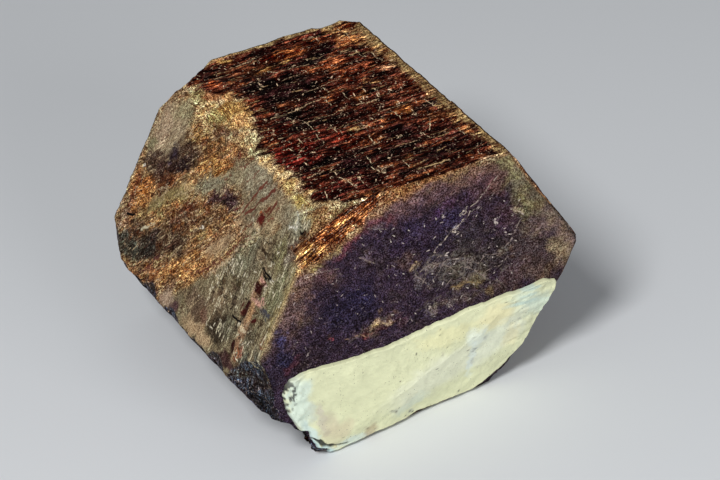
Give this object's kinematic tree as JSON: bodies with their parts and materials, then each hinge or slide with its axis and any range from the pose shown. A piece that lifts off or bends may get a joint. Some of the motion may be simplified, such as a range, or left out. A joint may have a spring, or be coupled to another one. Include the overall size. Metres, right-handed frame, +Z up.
{
  "type": "rough corundum crystal",
  "caption": "Rough stubby hexagonal corundum crystal lying on a long face: striated brown sides, dark purple flat end with a bare coat of white paint, worn edges. For display as a specimen.",
  "frame": {"origin": "The middle of the crystal's footprint, at the bottom: it lies on the long face that the picture hides, and z = 0 is the surface under it.", "axes": "+Z is up, square to the face that it lies on. +Y runs along the crystal's long growth axis, from the flat front end with the paint to the back end. +X is to the right as the front end is looked at."},
  "size_m": [0.0368, 0.0335, 0.0269],
  "materials": {
    "stone": "opaque stone: striated and satin on the long faces, finely granular and waxy on the front end, glinting on broken splinters",
    "paint": "old brushed-on white paint, cream, satin, lumpy, pitted and grimy in places"
  },
  "bodies": {
    "root": {"corundum_crystal": "stone", "white_paint_patch": "paint"}
  },
  "joints": []
}
